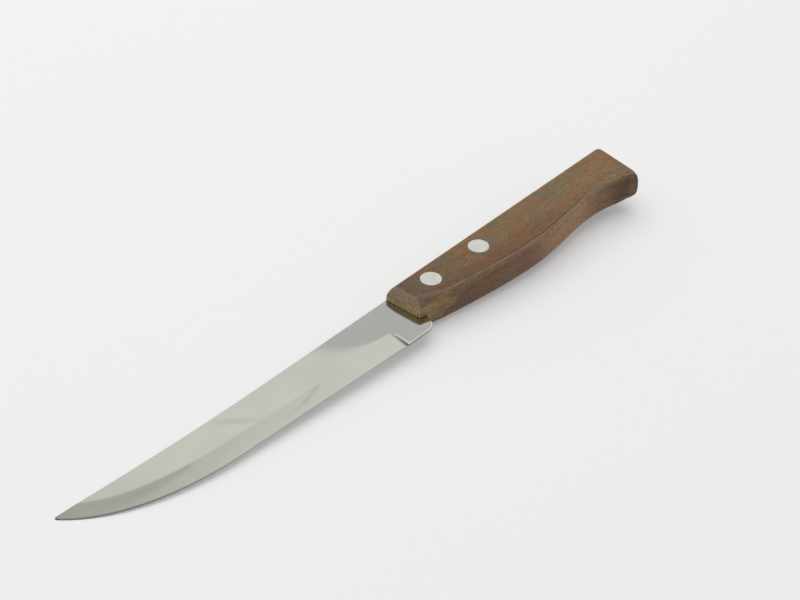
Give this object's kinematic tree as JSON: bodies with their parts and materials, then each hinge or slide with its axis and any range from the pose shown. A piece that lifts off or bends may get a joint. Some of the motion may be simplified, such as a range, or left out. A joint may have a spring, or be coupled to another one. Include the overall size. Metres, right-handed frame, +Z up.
{
  "type": "pointed kitchen knife",
  "caption": "Slim pointed kitchen knife: a ground steel blade with a stepped heel, its tang riveted into a slotted hardwood handle.",
  "frame": {"origin": "bottom centre of the bounding box, on the plane of the handle's lower side", "axes": "+X from the point towards the butt, +Y from the cutting edge towards the spine, +Z up through the thickness of the knife lying on its side"},
  "size_m": [0.2254, 0.0216, 0.0102],
  "materials": {
    "polished_steel": "fine polish with long hair lines",
    "oiled_hardwood": "oiled and worn, satin",
    "satin_aluminium": "satin, ground flush"
  },
  "bodies": {
    "root": {"blade": "polished_steel", "handle": "oiled_hardwood", "front_rivet_pin": "satin_aluminium", "front_rivet_tube": "satin_aluminium", "rear_rivet_pin": "satin_aluminium", "rear_rivet_tube": "satin_aluminium"}
  },
  "joints": []
}
